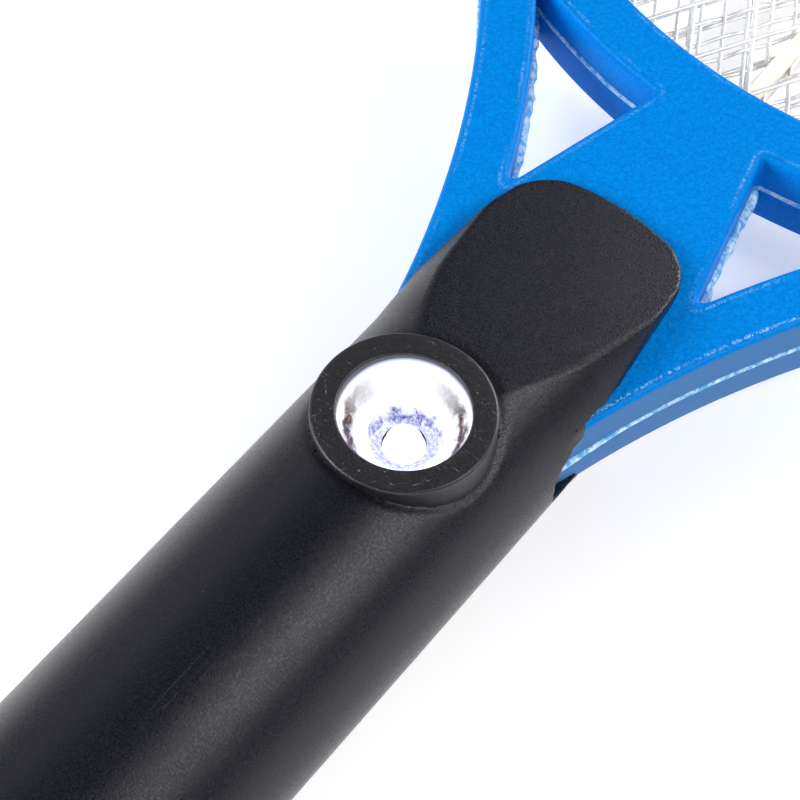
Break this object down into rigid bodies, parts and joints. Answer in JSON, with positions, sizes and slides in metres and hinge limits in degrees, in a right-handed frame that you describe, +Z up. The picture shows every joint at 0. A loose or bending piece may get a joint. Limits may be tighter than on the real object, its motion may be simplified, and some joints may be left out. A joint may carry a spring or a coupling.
{
  "type": "electric fly swatter",
  "caption": "Racket-shaped electric fly swatter: blue hoop with three wire grids, round black handle with a torch, push button, sliding switch and retractable charging plug.",
  "frame": {"origin": "under the middle of the whole length, on the surface that the handle lies on", "axes": "+Y along the handle towards the hoop, +Z up out of the torch side, +X to the right seen from above"},
  "size_m": [0.204, 0.49, 0.0361],
  "materials": {
    "blue_plastic": "bright blue ABS with a fine moulded leather grain",
    "black_plastic": "matte black ABS with fine spark texture",
    "bezel_plastic": "semi-gloss black ABS",
    "net_steel": "zinc plated steel wire",
    "ivory_plastic": "ivory insulating plastic",
    "screw_steel": "zinc plated",
    "reflector_chrome": "vacuum metallised",
    "led_clear": "clear epoxy",
    "red_plastic": "red ABS",
    "indicator_lens": "tinted epoxy",
    "circuit_board": "green solder mask on fibreglass",
    "spring_steel": "spring wire",
    "switch_body": "pressed switch housing",
    "ferrite": "sintered ferrite",
    "winding_tape": "polyester winding tape",
    "film_red": "dipped film capacitor",
    "film_yellow": "boxed film capacitor",
    "sleeve_blue": "shrink sleeve",
    "component_black": "moulded epoxy",
    "resistor_body": "lacquered resistor body",
    "cell_wrap": "plain shrink wrap",
    "nickel": "nickel strip",
    "pin_brass": "nickel plated brass",
    "contact_brass": "spring brass",
    "wire_jacket": "PVC insulated lead"
  },
  "bodies": {
    "handle": {"front_frame": "blue_plastic", "rear_frame": "blue_plastic", "front_grid": "net_steel", "rear_grid": "net_steel", "inner_grid": "net_steel", "front_carrier": "ivory_plastic", "rear_carrier": "ivory_plastic", "hoop_screws": "screw_steel", "upper_shell": "black_plastic", "lower_shell": "black_plastic", "handle_screws": "screw_steel", "tail_cap": "black_plastic", "torch_bezel": "bezel_plastic", "reflector": "reflector_chrome", "torch_led": "led_clear", "torch_board": "circuit_board", "button_spring": "spring_steel", "tact_switch": "component_black", "slide_switch": "switch_body", "control_board": "circuit_board", "indicator_leds": "indicator_lens", "main_board": "circuit_board", "transformer_core": "ferrite", "transformer_winding": "winding_tape", "hv_capacitor": "film_red", "filter_capacitor": "sleeve_blue", "charge_capacitor": "film_yellow", "transistor": "component_black", "resistors": "resistor_body", "diodes": "component_black", "battery": "cell_wrap", "battery_tabs": "nickel", "charge_contacts": "contact_brass", "grid_leads": "wire_jacket", "battery_leads": "wire_jacket", "torch_leads": "wire_jacket", "control_leads": "wire_jacket", "charge_leads": "wire_jacket"},
    "zap_button": {"zap_button": "red_plastic"},
    "power_switch": {"switch_knob": "red_plastic", "switch_lever": "component_black"},
    "charging_plug": {"plug_carriage": "black_plastic", "plug_pins": "pin_brass"}
  },
  "joints": [
    {"name": "zap_button_press", "type": "slide", "parent": "handle", "child": "zap_button", "axis": [0, 0, -1], "range_m": [0, 0.0015], "stiffness_N_per_m": 900, "springref_m": -0.0005, "deforming": ["button_spring"]},
    {"name": "power_switch_slide", "type": "slide", "parent": "handle", "child": "power_switch", "axis": [0, 1, 0], "range_m": [0, 0.006]},
    {"name": "charging_plug_slide", "type": "slide", "parent": "handle", "child": "charging_plug", "axis": [0, -1, 0], "range_m": [0, 0.02]}
  ]
}
